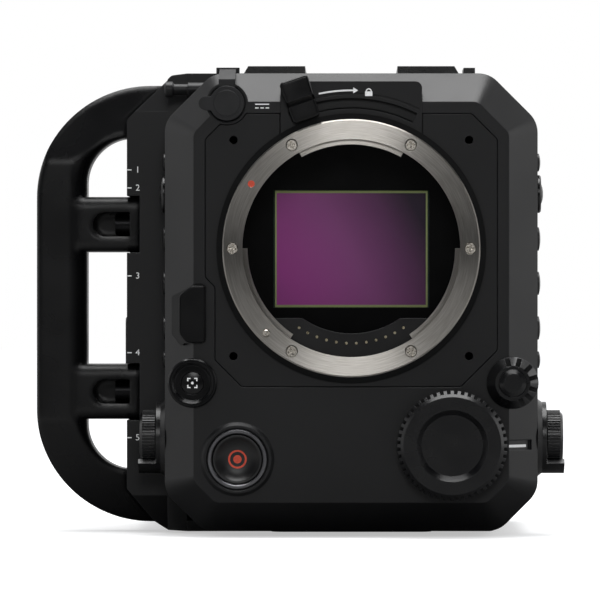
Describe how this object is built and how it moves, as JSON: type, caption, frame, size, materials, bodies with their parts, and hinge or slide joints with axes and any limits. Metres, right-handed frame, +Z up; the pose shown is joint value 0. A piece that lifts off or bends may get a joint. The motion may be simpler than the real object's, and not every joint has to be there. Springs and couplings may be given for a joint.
{
  "type": "cinema camera",
  "caption": "Box-style cinema camera body with bayonet lens mount, sensor, control dial, side handle and battery plate.",
  "frame": {"origin": "centre of the lens mount's flange face", "axes": "+Z up, +Y to the back of the camera, -Y out through the lens along the optical axis, +X to the viewer's right when facing the lens"},
  "size_m": [0.1602, 0.1468, 0.1423],
  "materials": {
    "bare_alloy": "bead blasted",
    "black_alloy": "satin powder coat on die-cast alloy",
    "black_plastic": "fine texture",
    "circuit_board": "solder mask",
    "dark_anodised": "black anodised",
    "display_glass": "gloss",
    "filter_glass": "coated",
    "front_face": "fine matt powder coat",
    "gold_contact": "gold plated",
    "mark_red": "filled mark",
    "mount_steel": "circular brushed",
    "screw_steel": "polished heads",
    "sensor_surface": "coated silicon",
    "soft_rubber": "matt"
  },
  "bodies": {
    "camera_body": {"front_housing": "black_alloy", "mount_panel": "front_face", "lever_plate": "black_alloy", "mount_ring": "mount_steel", "index_dot": "mark_red", "mount_screws": "screw_steel", "trim_ring": "dark_anodised", "mount_chassis": "dark_anodised", "baffle_frame": "black_plastic", "sensor_glass": "filter_glass", "sensor_chip": "sensor_surface", "sensor_board": "circuit_board", "contact_block": "black_plastic", "contact_pins": "gold_contact", "record_bezel": "dark_anodised", "assign_collar": "black_alloy", "wheel_guards": "black_alloy", "tape_hook": "dark_anodised", "front_sockets": "black_plastic", "strap_anchor": "soft_rubber", "rear_housing": "black_alloy", "io_block": "black_alloy", "io_sockets": "black_plastic", "handle_frame": "black_alloy", "handle_screws": "screw_steel", "top_pads": "dark_anodised", "base_plate": "dark_anodised", "battery_plate": "black_plastic", "heat_sink": "bare_alloy", "main_board": "circuit_board", "fan_frame": "black_plastic", "status_display": "display_glass", "card_cages": "bare_alloy"},
    "lock_lever": {"lock_lever": "dark_anodised"},
    "lens_lock_pin": {"lens_lock_pin": "screw_steel"},
    "record_button": {"record_button": "black_plastic"},
    "assign_button": {"assign_button": "black_plastic"},
    "selector_ring": {"selector_ring": "dark_anodised"},
    "selector_button": {"selector_button": "black_plastic"},
    "front_dial": {"front_dial": "dark_anodised"},
    "outlet_cap": {"outlet_cap": "soft_rubber"},
    "port_cover": {"port_cover": "soft_rubber"},
    "io_cover": {"io_cover": "soft_rubber"},
    "card_door": {"card_door": "black_plastic"},
    "battery_latch": {"battery_latch": "black_plastic"},
    "fan_rotor": {"fan_rotor": "black_plastic"},
    "left_button_1": {"left_button_1": "black_plastic"},
    "left_button_2": {"left_button_2": "black_plastic"},
    "left_button_3": {"left_button_3": "black_plastic"},
    "left_button_4": {"left_button_4": "black_plastic"},
    "left_button_5": {"left_button_5": "black_plastic"},
    "left_jog_disc": {"left_jog_disc": "dark_anodised"},
    "left_wheel": {"left_wheel": "dark_anodised"},
    "right_button_1": {"right_button_1": "black_plastic"},
    "right_button_2": {"right_button_2": "black_plastic"},
    "right_button_3": {"right_button_3": "black_plastic"},
    "right_button_4": {"right_button_4": "black_plastic"},
    "right_button_5": {"right_button_5": "black_plastic"},
    "right_jog_disc": {"right_jog_disc": "dark_anodised"},
    "right_wheel": {"right_wheel": "dark_anodised"}
  },
  "joints": [
    {"name": "lever_turn", "type": "hinge", "parent": "camera_body", "child": "lock_lever", "pos_m": [0, 0, 0], "axis": [0, 1, 0], "range_deg": [0, 39]},
    {"name": "lock_pin_press", "type": "slide", "parent": "camera_body", "child": "lens_lock_pin", "axis": [0, 1, 0], "range_m": [0, 0.001], "stiffness_N_per_m": 400},
    {"name": "record_press", "type": "slide", "parent": "camera_body", "child": "record_button", "axis": [0, 1, 0], "range_m": [0, 0.0006], "stiffness_N_per_m": 400},
    {"name": "assign_press", "type": "slide", "parent": "camera_body", "child": "assign_button", "axis": [0, 1, 0], "range_m": [0, 0.0006], "stiffness_N_per_m": 400},
    {"name": "selector_turn", "type": "hinge", "parent": "camera_body", "child": "selector_ring", "pos_m": [0.0481, 0, -0.0402], "axis": [0, 1, 0], "continuous": true},
    {"name": "selector_press", "type": "slide", "parent": "camera_body", "child": "selector_button", "axis": [0, 1, 0], "range_m": [0, 0.0008], "stiffness_N_per_m": 400},
    {"name": "front_dial_turn", "type": "hinge", "parent": "camera_body", "child": "front_dial", "pos_m": [0.03, 0, -0.0588], "axis": [0, 1, 0], "continuous": true},
    {"name": "outlet_cap_hinge", "type": "hinge", "parent": "camera_body", "child": "outlet_cap", "pos_m": [-0.0371, 0.0132, 0.0538], "axis": [-1, 0, 0], "range_deg": [0, 100]},
    {"name": "port_cover_hinge", "type": "hinge", "parent": "camera_body", "child": "port_cover", "pos_m": [-0.0433, 0.00135, -0.01935], "axis": [0, 0, 1], "range_deg": [0, 88]},
    {"name": "io_cover_hinge", "type": "hinge", "parent": "camera_body", "child": "io_cover", "pos_m": [-0.0687, 0.09625, -0.0315], "axis": [0, 0, -1], "range_deg": [0, 88]},
    {"name": "card_door_hinge", "type": "hinge", "parent": "camera_body", "child": "card_door", "pos_m": [0.0554, 0.0797, -0.042], "axis": [0, 0, 1], "range_deg": [0, 100]},
    {"name": "battery_latch_slide", "type": "slide", "parent": "camera_body", "child": "battery_latch", "axis": [0, 0, -1], "range_m": [0, 0.003], "stiffness_N_per_m": 400},
    {"name": "fan_spin", "type": "hinge", "parent": "camera_body", "child": "fan_rotor", "pos_m": [0.047, 0.1, -0.006], "axis": [1, 0, 0], "continuous": true},
    {"name": "left_button_1_press", "type": "slide", "parent": "camera_body", "child": "left_button_1", "axis": [1, 0, 0], "range_m": [0, 0.0008], "stiffness_N_per_m": 400},
    {"name": "left_button_2_press", "type": "slide", "parent": "camera_body", "child": "left_button_2", "axis": [1, 0, 0], "range_m": [0, 0.0008], "stiffness_N_per_m": 400},
    {"name": "left_button_3_press", "type": "slide", "parent": "camera_body", "child": "left_button_3", "axis": [1, 0, 0], "range_m": [0, 0.0008], "stiffness_N_per_m": 400},
    {"name": "left_button_4_press", "type": "slide", "parent": "camera_body", "child": "left_button_4", "axis": [1, 0, 0], "range_m": [0, 0.0008], "stiffness_N_per_m": 400},
    {"name": "left_button_5_press", "type": "slide", "parent": "camera_body", "child": "left_button_5", "axis": [1, 0, 0], "range_m": [0, 0.0008], "stiffness_N_per_m": 400},
    {"name": "left_jog_turn", "type": "hinge", "parent": "camera_body", "child": "left_jog_disc", "pos_m": [-0.056, 0.023, 0.0166], "axis": [1, 0, 0], "continuous": true},
    {"name": "left_wheel_turn", "type": "hinge", "parent": "camera_body", "child": "left_wheel", "pos_m": [-0.06, 0.023, -0.057], "axis": [1, 0, 0], "continuous": true},
    {"name": "right_button_1_press", "type": "slide", "parent": "camera_body", "child": "right_button_1", "axis": [-1, 0, 0], "range_m": [0, 0.0008], "stiffness_N_per_m": 400},
    {"name": "right_button_2_press", "type": "slide", "parent": "camera_body", "child": "right_button_2", "axis": [-1, 0, 0], "range_m": [0, 0.0008], "stiffness_N_per_m": 400},
    {"name": "right_button_3_press", "type": "slide", "parent": "camera_body", "child": "right_button_3", "axis": [-1, 0, 0], "range_m": [0, 0.0008], "stiffness_N_per_m": 400},
    {"name": "right_button_4_press", "type": "slide", "parent": "camera_body", "child": "right_button_4", "axis": [-1, 0, 0], "range_m": [0, 0.0008], "stiffness_N_per_m": 400},
    {"name": "right_button_5_press", "type": "slide", "parent": "camera_body", "child": "right_button_5", "axis": [-1, 0, 0], "range_m": [0, 0.0008], "stiffness_N_per_m": 400},
    {"name": "right_jog_turn", "type": "hinge", "parent": "camera_body", "child": "right_jog_disc", "pos_m": [0.056, 0.023, 0.0166], "axis": [1, 0, 0], "continuous": true},
    {"name": "right_wheel_turn", "type": "hinge", "parent": "camera_body", "child": "right_wheel", "pos_m": [0.06, 0.023, -0.057], "axis": [1, 0, 0], "continuous": true}
  ]
}
